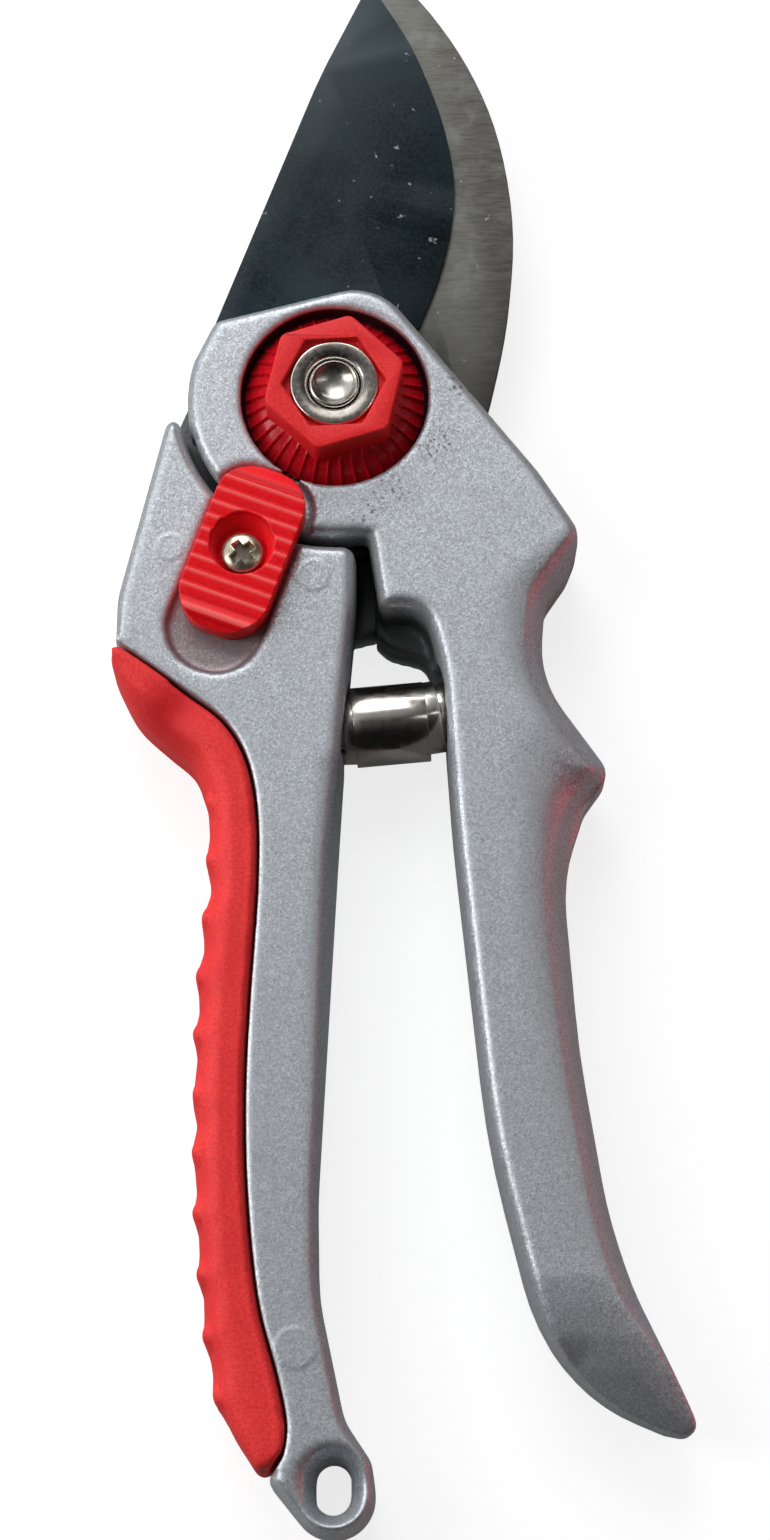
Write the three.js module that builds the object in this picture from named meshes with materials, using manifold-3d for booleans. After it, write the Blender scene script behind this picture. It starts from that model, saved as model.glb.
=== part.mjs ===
// Bypass pruning shears, closed and locked, lying on their back.
// +Y runs to the tip of the blade, +X to the right-hand handle, +Z from the back to the adjuster.
// The pivot's axis is x = 0, y = 0, and the back of both handles is z = 0. Millimetres.
import * as THREE from 'three';
import { mergeVertices } from 'three/addons/utils/BufferGeometryUtils.js';
import Module from 'manifold-3d';

const wasm = await Module();
wasm.setup();

// How far an arc's chords may lie inside it
const arcDepth = 0.04;

// Share of a bulged body's thickness over which its sides stand upright
const uprightShare = 0.45;

// Layers of the head, from the back to the front
const rearHeadThickness = 5.0;
const hookThickness = 3.0;
const bladeSlip = 0.1;
const bladeThickness = 3.0;
const frontHeadThickness = 5.5;

// Both heads are discs about the pivot
const headRadius = 19.4;
const headGap = 0.8;
const openAngle = 24;
const castEdge = 1.1;
const seamEdge = 0.5;
const castPower = 5;
const slopePower = 2;
const gripSlope = 2.4;
const innerSlope = 2.0;
const closedStopGap = 0.5;
const webThickness = 7.5;
const tipTaper = [[-114, -0.1], [-118, 0.4], [-122, 1.2], [-126, 2.4], [-130.5, 4.1], [-138, 7.3]];

// Gaps: pieces that rest on each other, pins in holes, and turning fits
const restGap = 0.3;
const pinGap = 0.05;
const slideGap = 0.2;

// Pivot
const boltRadius = 3.6;
const boltHeadRadius = 6.6;
const boltHeadHeight = 2.0;
const boltSquare = 7.8;
const boltStandOut = 4.7;
const boltChamfer = 0.9;
const boltDimpleRadius = 2.6;
const boltDimpleDepth = 0.6;
const bushWall = 1.6;
const washerRadius = 7.4;
const washerThickness = 0.8;
const nutRadius = 5.7;
const nutAcrossFlats = 12.4;
const nutFlangeHeight = 3.4;
const nutStandOut = 4.9;
const nutChamfer = 0.6;

// Adjuster wheel in its well
const wellDepth = 3.3;
const wellGap = 0.9;
const skirtRadius = 11.4;
const skirtStandOut = 0.9;
const skirtRim = 0.7;
const collarCorner = 9.5;
const collarStandOut = 5.2;
const collarFlare = 0.5;
const collarTurn = 17;
const skirtTeeth = 36;
const skirtToothDepth = 0.35;

// Latch: the slider, its screw and the tongue under it slide on one slanting line
const latchX = -11.8;
const latchY = -21.9;
const latchTilt = 20;
const latchTravel = 5.0;
const sliderHalfWidth = 6.2;
const sliderTop = 11.6;
const sliderBottom = -11.2;
const sliderCorner = 5.2;
const sliderStandOut = 2.8;
const sliderEdge = 0.6;
const sliderRibPitch = 1.6;
const sliderRibDepth = 0.35;
const recessDepth = 1.2;
const notchDepth = 1.5;
const notchMargin = 0.7;
const cupRadius = 4.3;
const cupFloorRadius = 3.0;
const cupDepth = 3.1;
const screwHeadRadius = 2.75;
const screwHeadHeight = 1.7;
const screwRadius = 1.5;
const crossWidth = 0.8;
const crossDepth = 1.0;
const tongueHalfWidth = 4.0;
const tongueThickness = 2.4;
const tongueTop = 8.0;
const tongueBottom = -8.0;
const recessFloorThickness = 0.9;
const detentBallRadius = 1.2;
const detentSpringHeight = 3.0;
const detentSpringWire = 0.45;
const detentPlace = -5.5;

// Volute spring between the handles. Its turns stand on a circle about the pivot.
const springDistance = 43.0;
const springStripWidth = 7.2;
const springStripThickness = 0.45;
const springOuterRadius = 5.35;
const springNesting = 0.2;
const springStep = 2.7;
const springMiddleAngle = 9.8;
const springPocketGap = 0.65;
const springBossRadius = 2.3;
const springBossLength = 3.0;

// Blade's ground face
const grindWidth = 12;
const edgeThickness = 0.5;

// Pins and rivets
const pinRadius = 1.5;
const pinInset = 4.4;
const pinReach = 3.5;
const rivetRadius = 1.6;
const rivetHeadRadius = 2.6;
const rivetHeadHeight = 0.8;

// Grip and hanging eye
const gripGap = 0.15;
const gripEdge = 0.9;
const gripInset = 0.1;
const gripRibReach = 2.2;
const gripRibThickness = 6.0;
const scallopPitch = 7.5;
const scallopHeight = 0.75;
const scallopsFrom = -132.9;
const scallopCount = 10;
const lobeX = 0.25;
const lobeY = -140.8;
const lobeRadius = 5.25;
const eyeX = 0.3;
const eyeY = -140.0;
const eyeHoleRadius = 2.2;
const eyeHoleStraight = 2.3;
const eyeFlare = 1.5;

// Heights of the layers
const hookFront = rearHeadThickness + hookThickness;
const bladeBack = hookFront + bladeSlip;
const bladeFront = bladeBack + bladeThickness;
const handleFront = bladeFront + frontHeadThickness;
const handleMiddle = handleFront / 2;

// ---------------------------------------------------------------------------------------------
// Outlines

const degrees = Math.PI / 180;

function arc(radius, fromDegrees, toDegrees, x = 0, y = 0) {
  const sweep = Math.abs(toDegrees - fromDegrees) * degrees;
  const chordStep = 2 * Math.acos(1 - arcDepth / Math.max(radius, 0.5));
  const steps = Math.max(2, Math.ceil(sweep / chordStep));
  const [from, to] = [fromDegrees * degrees, toDegrees * degrees];
  return new THREE.EllipseCurve(x, y, radius, radius, from, to, to < from).getPoints(steps);
}

// A chain of corners [x, y, radius]. Every corner with a radius becomes an arc.
function rounded(corners, closed = false) {
  const count = corners.length;
  const points = [];
  corners.forEach(([x, y, radius], i) => {
    const here = new THREE.Vector2(x, y);
    const isEnd = !closed && (i === 0 || i === count - 1);
    if (!radius || isEnd) {
      points.push(here);
      return;
    }
    const [beforeX, beforeY] = corners[(i + count - 1) % count];
    const [afterX, afterY] = corners[(i + 1) % count];
    const back = new THREE.Vector2(beforeX, beforeY).sub(here).normalize();
    const ahead = new THREE.Vector2(afterX, afterY).sub(here).normalize();
    const half = Math.acos(THREE.MathUtils.clamp(back.dot(ahead), -1, 1)) / 2;
    const toCentre = back.clone().add(ahead).normalize();
    const centre = here.clone().addScaledVector(toCentre, radius / Math.sin(half));
    const start = here.clone().addScaledVector(back, radius / Math.tan(half));
    const end = here.clone().addScaledVector(ahead, radius / Math.tan(half));
    const startAngle = start.sub(centre).angle() / degrees;
    const turn = (end.sub(centre).angle() / degrees - startAngle + 540) % 360 - 180;
    points.push(...arc(radius, startAngle, startAngle + turn, centre.x, centre.y));
  });
  return points;
}

function spline(...knots) {
  const curve = new THREE.SplineCurve(knots.map(([x, y]) => new THREE.Vector2(x, y)));
  return curve.getPoints(knots.length * 4);
}

// The same open line, moved sideways. A positive distance moves it to the left of its direction.
function beside(line, distance) {
  return line.map((point, i) => {
    const before = line[Math.max(i - 1, 0)];
    const after = line[Math.min(i + 1, line.length - 1)];
    const along = after.clone().sub(before).normalize();
    return new THREE.Vector2(point.x - along.y * distance, point.y + along.x * distance);
  });
}

// The arc that rounds the corner between the end of one line and the start of the next
function cornerBetween(before, [x, y, radius], after) {
  const from = before[before.length - 1];
  return rounded([[from.x, from.y, 0], [x, y, radius], [after[0].x, after[0].y, 0]]).slice(1, -1);
}

function circle(radius, x = 0, y = 0) {
  return arc(radius, 0, 360, x, y).slice(0, -1);
}

// ---------------------------------------------------------------------------------------------
// Solids

function solid(geometry) {
  const bare = geometry.clone();
  bare.deleteAttribute('normal');
  bare.deleteAttribute('uv');
  const merged = mergeVertices(bare, 1e-5);
  return new wasm.Manifold(new wasm.Mesh({
    numProp: 3,
    vertProperties: new Float32Array(merged.attributes.position.array),
    triVerts: new Uint32Array(merged.index.array),
  }));
}

function join(first, ...others) {
  return others.reduce((whole, other) => whole.add(other), first);
}

function cut(first, ...others) {
  return others.reduce((whole, other) => whole.subtract(other), first);
}

// A plate with the given outline, from one height to another. Its edges may be cut at 45 degrees.
function plate(points, low, high, edge = 0) {
  const geometry = new THREE.ExtrudeGeometry(new THREE.Shape(points), {
    depth: high - low - 2 * edge,
    bevelEnabled: edge > 0,
    bevelThickness: edge,
    bevelSize: edge,
    bevelOffset: -edge,
    bevelSegments: 1,
  });
  geometry.translate(0, 0, low + edge);
  return solid(geometry);
}

// One side of a bulged body: its outline points, how far it curves in at the two faces, and how
// soon. A high power keeps the side upright and only rounds its two edges.
function side(points, inset, power) {
  return points.map(({ x, y }) => ({ x, y, inset, power }));
}

// A side whose edges are rounded at its ends and slope further in between. It runs along y.
function slopedSide(points, edge, slope, [endHigh, fullHigh, fullLow, endLow]) {
  const { smoothstep, lerp } = THREE.MathUtils;
  return points.map(({ x, y }) => {
    const share = smoothstep(-y, -endHigh, -fullHigh) * smoothstep(y, endLow, fullLow);
    return { x, y, inset: lerp(edge, slope, share), power: lerp(castPower, slopePower, share) };
  });
}

// A body whose sides curve in towards both faces
function bulged(outline, low, high) {
  const sides = THREE.ShapeUtils.isClockWise(outline) ? outline : outline.toReversed();
  const levels = [-1, -0.83, -uprightShare, uprightShare, 0.83, 1];
  const count = sides.length;
  const rings = levels.map((level) => sides.map(({ x, y, inset, power }, i) => {
    const before = sides[(i + count - 1) % count];
    const after = sides[(i + 1) % count];
    const length = Math.hypot(after.x - before.x, after.y - before.y);
    const distance = inset * ((Math.abs(level) - uprightShare) / (1 - uprightShare)) ** power / length;
    return [
      x + (after.y - before.y) * distance, y - (after.x - before.x) * distance,
      (low + high) / 2 + level * (high - low) / 2,
    ];
  }));
  const flat = THREE.ShapeUtils.triangulateShape(sides.map(({ x, y }) => new THREE.Vector2(x, y)), []);
  const top = (levels.length - 1) * count;
  const faces = flat.flatMap(([a, b, c]) => [[a, c, b], [a + top, b + top, c + top]]);
  for (let corner = 0; corner < top; corner += 1) {
    const next = (corner + 1) % count ? corner + 1 : corner + 1 - count;
    faces.push([corner, next + count, next], [corner, corner + count, next + count]);
  }
  const geometry = new THREE.BufferGeometry();
  geometry.setAttribute('position', new THREE.Float32BufferAttribute(rings.flat(2), 3));
  geometry.setIndex(faces.flat());
  return solid(geometry);
}

function rod(radius, low, high, x = 0, y = 0) {
  return plate(circle(radius, x, y), low, high);
}

// A turned piece on the z axis, from a closed profile of [radius, height]
function turned(profile, sides = 48) {
  const closed = [...profile, profile[0]].map(([radius, height]) => new THREE.Vector2(radius, height));
  const geometry = new THREE.LatheGeometry(closed, sides);
  geometry.rotateX(Math.PI / 2);
  return solid(geometry);
}

function box(x0, y0, z0, x1, y1, z1) {
  const geometry = new THREE.BoxGeometry(x1 - x0, y1 - y0, z1 - z0);
  geometry.translate((x0 + x1) / 2, (y0 + y1) / 2, (z0 + z1) / 2);
  return solid(geometry);
}

// A cylinder on the spring's circle, touching it at the given angle
function springRod(radius, from, to, angle) {
  const geometry = new THREE.CylinderGeometry(radius, radius, to - from, 32);
  geometry.rotateZ(Math.PI / 2);
  geometry.translate((from + to) / 2, -springDistance, handleMiddle);
  geometry.rotateZ(angle * degrees);
  return solid(geometry);
}

function polygon(sides, cornerRadius, turn = 0) {
  return Array.from({ length: sides }, (_, i) => {
    const angle = (turn + i * 360 / sides) * degrees;
    return new THREE.Vector2(cornerRadius * Math.cos(angle), cornerRadius * Math.sin(angle));
  });
}

const group = new THREE.Group();

function addPiece(name, shape, material) {
  const { vertProperties, triVerts } = shape.getMesh();
  const geometry = new THREE.BufferGeometry();
  geometry.setAttribute('position', new THREE.BufferAttribute(vertProperties, 3));
  geometry.setIndex(new THREE.BufferAttribute(triVerts, 1));
  geometry.computeVertexNormals();
  const mesh = new THREE.Mesh(geometry, material);
  mesh.name = name;
  group.add(mesh);
}

function finish(color, roughness, metalness) {
  return new THREE.MeshStandardMaterial({ color, roughness, metalness });
}

function steel() {
  return finish(0x8b8c8c, 0.35, 1);
}

function springSteel() {
  return finish(0x9c958a, 0.2, 1);
}

// ---------------------------------------------------------------------------------------------
// Places shared by several pieces

// A point of the latch, from its offsets across and along the slide
function onLatch(across, along) {
  const tilt = latchTilt * degrees;
  return new THREE.Vector2(
    latchX + across * Math.cos(tilt) + along * Math.sin(tilt),
    latchY - across * Math.sin(tilt) + along * Math.cos(tilt),
  );
}

function latchOutline(halfWidth, bottom, top, bottomCorner, topCorner) {
  const corners = [
    [-halfWidth, bottom, bottomCorner], [halfWidth, bottom, bottomCorner],
    [halfWidth, top, topCorner], [-halfWidth, top, topCorner],
  ];
  return rounded(corners, true).map(({ x, y }) => onLatch(x, y));
}

// Outer radius and angle of each turn of the spring, from the left seat to the right seat.
// A turn is named by how many strips lie over it. Turns that pass each other differ in this.
const springTurns = [2, 1, 0, 2, 3].map((nested, i) => ({
  radius: springOuterRadius - nested * (springStripThickness + springNesting),
  angle: springMiddleAngle + (i - 2) * springStep / springDistance / degrees,
}));
const leftSeatAngle = springTurns[0].angle;
const rightSeatAngle = springTurns[4].angle;
const springSeat = springStripWidth / 2 + restGap;
const springPocketRadius = springOuterRadius + springPocketGap;

const wellRadius = skirtRadius + wellGap;
const washerBack = handleFront - wellDepth;
const nutBack = washerBack + washerThickness;
const bushRadius = boltRadius + bushWall;
const nutCorner = nutAcrossFlats / Math.sqrt(3);
const tongueFront = handleFront - recessDepth - recessFloorThickness - slideGap;
const tongueBack = tongueFront - tongueThickness;
const pinCircle = headRadius - pinInset;
const bladePins = [150, -60].map((angle) => polygon(1, pinCircle, angle)[0]);
const hookRivets = [20, -58].map((angle) => polygon(1, pinCircle, angle)[0]);

// ---------------------------------------------------------------------------------------------
// Right handle: one casting with the front half of the head

const neckX = 4.4;
const stopX = 6.4;
const stopY = -28.9;

function rightHandle() {
  const head = arc(headRadius, -Math.acos(neckX / headRadius) / degrees, -195);
  const from = head[head.length - 1];
  const outer = rounded([
    [from.x, from.y, 0], [-15.9, 10.9, 1.5], [5.55, 16.5, 8], [26.6, -9.8, 20], [32.1, -18.3, 3],
    [30.35, -22.9, 4], [27.35, -27.4, 3], [26.6, -37.0, 14], [35.65, -49.5, 2.6], [32.3, -54.2, 4],
    [29.35, -63.3, 25], [31.1, -86, 120], [34.4, -106.4, 60], [37.25, -115.4, 40], [44.2, -130.2, 0],
  ]).slice(1);
  const inner = rounded([
    [41.2, -133.3, 0], [31.3, -129.0, 22], [25.0, -118.6, 30], [19.6, -97, 120], [15.4, -58, 200],
    [13.9, -36.5, 30], [11.6, -28.5, 3.5], [5.9, -28.9, 1.3], [neckX, -17, 0],
  ]).slice(0, -1);
  const casting = bulged([
    ...side(head, castEdge, castPower), ...slopedSide(outer, castEdge, gripSlope, [-18, -23, -122, -131]),
    ...side([...cornerBetween(outer, [45.9, -134.2, 1.5], inner), ...inner], castEdge, castPower),
  ], 0, handleFront);
  const web = plate(rounded([
    [5.3, -25.5, 0], [5.3, -29.9, 1], [7.3, -31.7, 2], [11.8, -32.8, 2], [13.3, -36.3, 2], [16, -37.5, 0],
    [16, -25.5, 0],
  ], true), 0, webThickness);
  const sweep = 60;
  const shoulder = (-openAngle + 2) * degrees;
  const overHook = plate([
    new THREE.Vector2(0, 0),
    new THREE.Vector2(sweep * Math.cos(shoulder), sweep * Math.sin(shoulder)),
    new THREE.Vector2(sweep, sweep), new THREE.Vector2(-sweep, sweep), new THREE.Vector2(-sweep, 0),
  ], -1, bladeFront);
  const overRearHead = rod(headRadius + headGap, -1, bladeFront);
  const neckFront = rearHeadThickness + slideGap;
  const overNeck = box(-headRadius, stopY - closedStopGap, -1, stopX + closedStopGap, 0, neckFront);
  const well = rod(wellRadius, washerBack, handleFront + 1);
  const bore = rod(bushRadius + pinGap, 0, handleFront);
  const pinTop = bladeFront + pinReach + pinGap;
  const pinHoles = bladePins.map(({ x, y }) => rod(pinRadius + pinGap, 0, pinTop, x, y));
  const notch = plate(
    latchOutline(sliderHalfWidth + notchMargin, sliderBottom, sliderTop + notchMargin, 1, sliderCorner),
    handleFront - notchDepth, handleFront + 1,
  );
  const pocket = springRod(springPocketRadius, -springSeat, springSeat, rightSeatAngle);
  const boss = springRod(springBossRadius, springSeat - springBossLength, springSeat + 1, rightSeatAngle);
  const cuts = [
    overHook, overRearHead, overNeck, well, bore, ...pinHoles, notch, tongueTrack(), pocket,
    tipWedge(handleFront, -1), tipWedge(0, 1),
  ];
  return join(cut(join(casting, web), ...cuts), boss);
}

// What is left out at one face for the end of the right handle to taper
function tipWedge(face, inward) {
  const slope = tipTaper.map(([y, depth]) => new THREE.Vector2(y, face + inward * depth));
  const outside = [slope[slope.length - 1], slope[0]].map(({ x }) => new THREE.Vector2(x, face - inward));
  const geometry = new THREE.ExtrudeGeometry(new THREE.Shape([...slope, ...outside]), {
    depth: 60, bevelEnabled: false,
  });
  const acrossHandle = new THREE.Matrix4().makeBasis(
    new THREE.Vector3(0, 1, 0), new THREE.Vector3(0, 0, 1), new THREE.Vector3(1, 0, 0),
  );
  return solid(geometry.applyMatrix4(acrossHandle));
}

// The track in the back of the front head, in which the tongue lies and runs as the head turns
function tongueTrack() {
  const nose = onLatch(0, tongueTop);
  const noseRadius = nose.length();
  const noseAngle = Math.atan2(nose.y, nose.x) / degrees;
  const halfAngle = Math.asin((tongueHalfWidth + restGap) / noseRadius) / degrees + 3;
  const inner = noseRadius - 2 * restGap;
  const outer = headRadius + 2;
  const from = noseAngle + halfAngle;
  const to = noseAngle - openAngle - halfAngle;
  return plate([...arc(inner, from, to), ...arc(outer, to, from)], 0, tongueFront + slideGap);
}

// ---------------------------------------------------------------------------------------------
// Left handle: one casting with the rear half of the head, the latch's seat and the hanging eye

// Where the grip meets the metal, from the top end to the hanging eye
const gripLine = spline(
  [-28.1, -33.3], [-24.2, -36.0], [-18.5, -40.2], [-14.0, -43.8], [-11.0, -48.8], [-9.6, -56.0],
  [-9.5, -66], [-10.4, -81], [-10.8, -93], [-10.4, -105], [-9.0, -117.5], [-6.6, -126.5], [-5.4, -132.5],
  [-5.8, -136.3],
);

// The rib that stands into the grip, or with a gap the groove for it
function gripRib(reach, root, thickness, gap) {
  const line = gripLine.filter(({ y }) => y < -36.7 - gap && y > -134.3 + gap);
  const outline = [...beside(line, root), ...beside(line, -reach).reverse()];
  return plate(outline, handleMiddle - thickness / 2, handleMiddle + thickness / 2);
}

function leftHandle() {
  const wallRadius = headRadius + headGap;
  const lobe = arc(lobeRadius, -145, 10, lobeX, lobeY);
  const shoulder = rounded([
    [-19.3, -5.9, 0], [-21.2, 0.4, 1.2], [-28.1, -27.4, 10], [-28.1, -33.0, 0],
  ]).slice(1, -1);
  const inner = rounded([
    [5.5, -139.2, 0], [4.9, -136.7, 3], [1.65, -131.9, 6], [-1.6, -116.5, 30], [-1.8, -104, 60], [0.5, -62, 150],
    [1.9, -38, 60], [2.9, -27, 20], [2.9, -wallRadius, 1.8], [0.5, -wallRadius, 0],
  ]).slice(1, -1);
  const casting = bulged([
    ...side([...arc(wallRadius, -90, -163), ...shoulder], castEdge, castPower),
    ...side(gripLine, seamEdge, castPower),
    ...side([...cornerBetween(gripLine, [-7.9, -139.1, 1.2], lobe), ...lobe], castEdge, 3),
    ...slopedSide(inner, castEdge, innerSlope, [-36, -54, -60, -96]),
  ], 0, handleFront);
  const rearHead = rod(headRadius, 0, rearHeadThickness);
  const neck = plate(rounded([
    [-17.5, 8.0, 0], [-20.9, -0.3, 1], [-23.0, -9, 6], [-25.5, -20, 2], [-25, -34, 4], [-6, -32, 4],
    [stopX, stopY, 1], [stopX, -14, 0], [0, -8, 0],
  ], true), 0, rearHeadThickness);
  const rib = gripRib(gripRibReach, 1, gripRibThickness, 0);
  const boltHead = rod(boltHeadRadius + slideGap, -1, boltHeadHeight + pinGap);
  const square = plate(polygon(4, (boltSquare / 2 + pinGap) * Math.SQRT2, 45), 0, rearHeadThickness + 1);
  const rivetHoles = hookRivets.flatMap(({ x, y }) => [
    rod(rivetRadius + pinGap, -1, rearHeadThickness + 1, x, y),
    rod(rivetHeadRadius + pinGap, -1, rivetHeadHeight + pinGap, x, y),
  ]);
  const pocket = springRod(springPocketRadius, -springSeat, springSeat, leftSeatAngle);
  const boss = springRod(springBossRadius, -springSeat - 1, springBossLength - springSeat, leftSeatAngle);
  const whole = join(casting, rearHead, neck, rib);
  return join(cut(whole, boltHead, square, ...rivetHoles, ...latchSeat(), ...eyeHole(), pocket), boss);
}

// Recess for the slider, slot for its screw, pocket for the tongue and hole for the detent
function latchSeat() {
  const open = 16;
  const recessBottom = sliderBottom - latchTravel - slideGap;
  const recess = plate(
    latchOutline(sliderHalfWidth + slideGap, recessBottom, open, sliderHalfWidth, 0),
    handleFront - recessDepth, handleFront + 1,
  );
  const slotHalfWidth = screwRadius + slideGap;
  const slot = plate(
    latchOutline(slotHalfWidth, -latchTravel - slotHalfWidth, slotHalfWidth, screwRadius, screwRadius),
    tongueBack - slideGap, handleFront,
  );
  const pocket = plate(
    latchOutline(tongueHalfWidth + slideGap, tongueBottom - latchTravel - slideGap, open, 1, 0),
    tongueBack - slideGap, tongueFront + slideGap,
  );
  const place = onLatch(0, detentPlace);
  const detent = rod(
    detentBallRadius + slideGap,
    tongueBack - slideGap - 2 * detentBallRadius - detentSpringHeight - restGap, tongueBack, place.x, place.y,
  );
  return [recess, slot, pocket, detent];
}

// An oval hole with a flared rim on both faces
function eyeHole() {
  const half = eyeHoleStraight / 2;
  const outline = [
    ...arc(eyeHoleRadius, 0, 180, eyeX, eyeY + half), ...arc(eyeHoleRadius, 180, 360, eyeX, eyeY - half),
  ];
  const flare = [0, handleFront].map((height) => {
    const geometry = new THREE.ExtrudeGeometry(new THREE.Shape(outline), {
      depth: 0.02, bevelEnabled: true, bevelThickness: eyeFlare, bevelSize: eyeFlare, bevelSegments: 1,
    });
    geometry.translate(0, 0, height - 0.01);
    return solid(geometry);
  });
  return [plate(outline, -1, handleFront + 1), ...flare];
}

// ---------------------------------------------------------------------------------------------
// Grip: soft moulding over the handle's rib, with scallops down its outer edge

function handleGrip() {
  const inner = beside(gripLine, -gripGap).filter(({ y }) => y < -35.5 && y > -136);
  const outerLine = spline(
    [-10.3, -136.3], [-12.6, -132.4], [-14.6, -125.5], [-15.9, -115], [-16.7, -104], [-16.9, -92],
    [-16.7, -80], [-16.2, -72], [-15.4, -64], [-15.8, -58], [-16.1, -54.6], [-16.9, -51.8],
    [-18.2, -48.9], [-21.8, -45.8], [-25.4, -42.3], [-27.9, -37.6], [-28.75, -35.4],
  );
  const outer = outerLine.map((point) => {
    const fromFirst = point.y - scallopsFrom;
    const wave = 0.5 - 0.5 * Math.cos(2 * Math.PI * fromFirst / scallopPitch);
    const isScalloped = fromFirst > 0 && fromFirst < scallopPitch * scallopCount;
    return new THREE.Vector2(point.x - (isScalloped ? scallopHeight * wave : 0), point.y);
  });
  const bottom = cornerBetween(inner, [-8.4, -139.3, 1.3], outer);
  const top = cornerBetween(outer, [-28.95, -32.85, 0.9], inner);
  const body = bulged([
    ...side(top, gripEdge, castPower),
    ...side([...inner, ...bottom], seamEdge, castPower),
    ...slopedSide(outer, gripEdge, gripSlope, [-36, -43, -128, -137]),
  ], gripInset, handleFront - gripInset);
  const groove = gripRib(gripRibReach + gripGap, 2, gripRibThickness + 2 * gripGap, -gripGap);
  return cut(body, groove);
}

// ---------------------------------------------------------------------------------------------
// Cutting blade: a plate with its edge ground from the front, keyed to the right head by two pins

const bladeEdgeLine = [
  [11.1, 12.4], [13.7, 19.6], [15.5, 27], [15.9, 34], [14.3, 42.5], [11.0, 51.6], [7.8, 57.6], [4.6, 62.6],
];

function cuttingBlade() {
  const outline = [
    ...spline(...bladeEdgeLine),
    ...rounded([
      [4.6, 62.6, 0], [3.9, 61.7, 0], [-3.0, 45.8, 60], [-17.0, 9.3, 3], [-16.8, -1, 8], [-11, -13.5, 10], [2, -18, 8],
      [13, -13, 6], [15.6, -3, 6], [8.0, 12.4, 0.5], [11.1, 12.4, 0],
    ]).slice(1, -1),
  ];
  const bore = rod(bushRadius + pinGap, bladeBack - 1, bladeFront + 1);
  const pinHoles = bladePins.map(({ x, y }) => rod(pinRadius + pinGap, bladeBack - 1, bladeFront + 1, x, y));
  return cut(plate(outline, bladeBack, bladeFront), bladeGrind(), bore, ...pinHoles);
}

// The wedge that grinding takes off the front, swept along the cutting edge
function bladeGrind() {
  const path = new THREE.CatmullRomCurve3([
    [9.5, 7.5], ...bladeEdgeLine, [1.6, 67.2],
  ].map(([x, y]) => new THREE.Vector3(x, y, bladeFront)));
  const depth = bladeThickness - edgeThickness;
  const wedge = new THREE.Shape([
    new THREE.Vector2(0, grindWidth), new THREE.Vector2(depth, 0), new THREE.Vector2(depth, -2),
    new THREE.Vector2(-1, -2), new THREE.Vector2(-1, grindWidth),
  ]);
  return solid(new THREE.ExtrudeGeometry(wedge, { steps: 28, bevelEnabled: false, extrudePath: path }));
}

// ---------------------------------------------------------------------------------------------
// Hook: the bare steel counter-blade on the rear head, with its rivets

function hookBlade() {
  const outline = [
    ...spline(
      [6.2, 65.8], [12.3, 59.4], [18.0, 50.4], [21.9, 40.2], [23.8, 27.5], [23.1, 15], [21.0, 4],
      [19.3, -2.0],
    ),
    ...arc(headRadius, -10, -120),
    ...rounded([
      [-9.7, -16.8, 0], [-14, -6, 10], [-12, 9, 9], [-1, 13.5, 8], [8.5, 16.5, 8],
    ]).slice(1, -1),
    ...spline([6.5, 16.2], [10.6, 22], [12.4, 30], [12.0, 39], [9.2, 49], [5.6, 57.5], [4.6, 62]),
  ];
  const bore = rod(bushRadius + pinGap, rearHeadThickness - 1, hookFront + 1);
  const rivetHoles = hookRivets.map(({ x, y }) => (
    rod(rivetRadius + pinGap, rearHeadThickness - 1, hookFront + 1, x, y)
  ));
  return cut(plate(outline, rearHeadThickness, hookFront), bore, ...rivetHoles);
}

function hookRivet({ x, y }) {
  return join(rod(rivetHeadRadius, 0, rivetHeadHeight, x, y), rod(rivetRadius, 0, hookFront, x, y));
}

function bladePin({ x, y }) {
  return rod(pinRadius, bladeBack + pinGap, bladeFront + pinReach, x, y);
}

// ---------------------------------------------------------------------------------------------
// Pivot: bolt, bush, washer, nut and adjuster wheel

function pivotBolt() {
  const top = handleFront + boltStandOut;
  const shank = turned([
    [0, boltHeadHeight / 2], [boltRadius, boltHeadHeight / 2], [boltRadius, top - boltChamfer],
    [boltDimpleRadius, top], [boltDimpleRadius * 0.6, top - boltDimpleDepth], [0, top - boltDimpleDepth],
  ], 32);
  const head = plate(circle(boltHeadRadius), 0, boltHeadHeight);
  const square = plate(polygon(4, boltSquare / Math.SQRT2, 45), boltHeadHeight / 2, rearHeadThickness);
  return join(head, square, shank);
}

function ring(inner, outer, low, high) {
  return cut(rod(outer, low, high), rod(inner, low - 1, high + 1));
}

function pivotBush() {
  return ring(boltRadius + pinGap, bushRadius, rearHeadThickness + pinGap, washerBack - pinGap);
}

function pivotNut() {
  const top = handleFront + nutStandOut;
  const flange = plate(polygon(6, nutCorner, collarTurn), nutBack, nutBack + nutFlangeHeight);
  const barrel = turned([
    [0, nutBack], [nutRadius, nutBack], [nutRadius, top - nutChamfer / 2], [nutRadius - nutChamfer / 2, top],
    [0, top],
  ]);
  const bore = turned([
    [0, nutBack - 1], [boltRadius + pinGap, nutBack - 1], [boltRadius + pinGap, top - nutChamfer],
    [boltRadius + pinGap + nutChamfer, top + pinGap], [0, top + pinGap],
  ]);
  return cut(join(flange, barrel), bore);
}

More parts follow.
